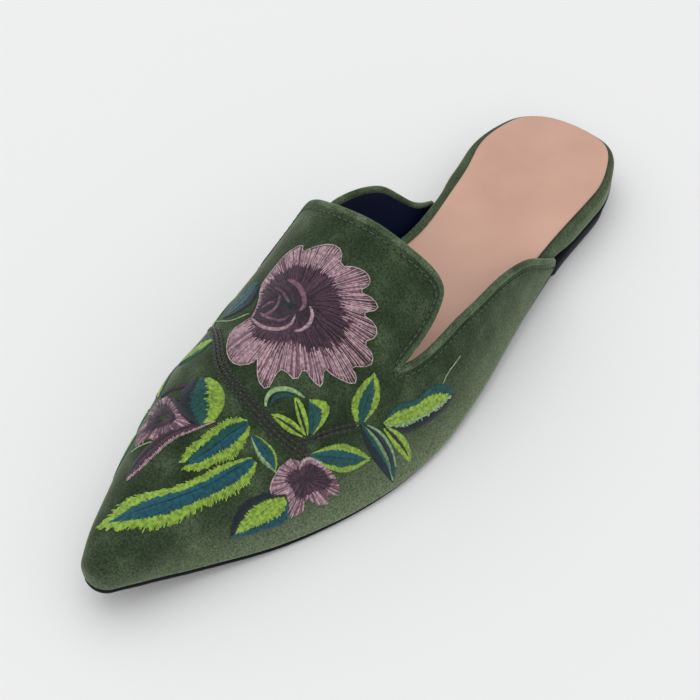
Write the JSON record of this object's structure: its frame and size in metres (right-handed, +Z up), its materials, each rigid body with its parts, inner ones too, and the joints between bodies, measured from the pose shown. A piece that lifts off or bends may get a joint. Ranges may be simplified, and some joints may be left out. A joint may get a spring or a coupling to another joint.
{
  "type": "pointed mule",
  "caption": "Flat pointed mule for the left foot: hollow velvet upper with a slipper tab and low side wings, open back, padded footbed, thin sole and low block heel.",
  "frame": {"origin": "middle of the shoe's bounding box at floor level", "axes": "+Z up, +Y from the toe to the heel, +X towards the outer side of the foot"},
  "size_m": [0.086, 0.262, 0.0712],
  "materials": {
    "outsole": "matte, near black",
    "heel": "satin, dark navy",
    "footbed": "olive velvet wrapped over a padded board",
    "insole_sock": "smooth, pale pink",
    "upper": "olive velvet outside, navy lining inside"
  },
  "bodies": {
    "root": {"outsole": "outsole", "heel": "heel", "footbed": "footbed", "insole_sock": "insole_sock", "upper": "upper"}
  },
  "joints": []
}
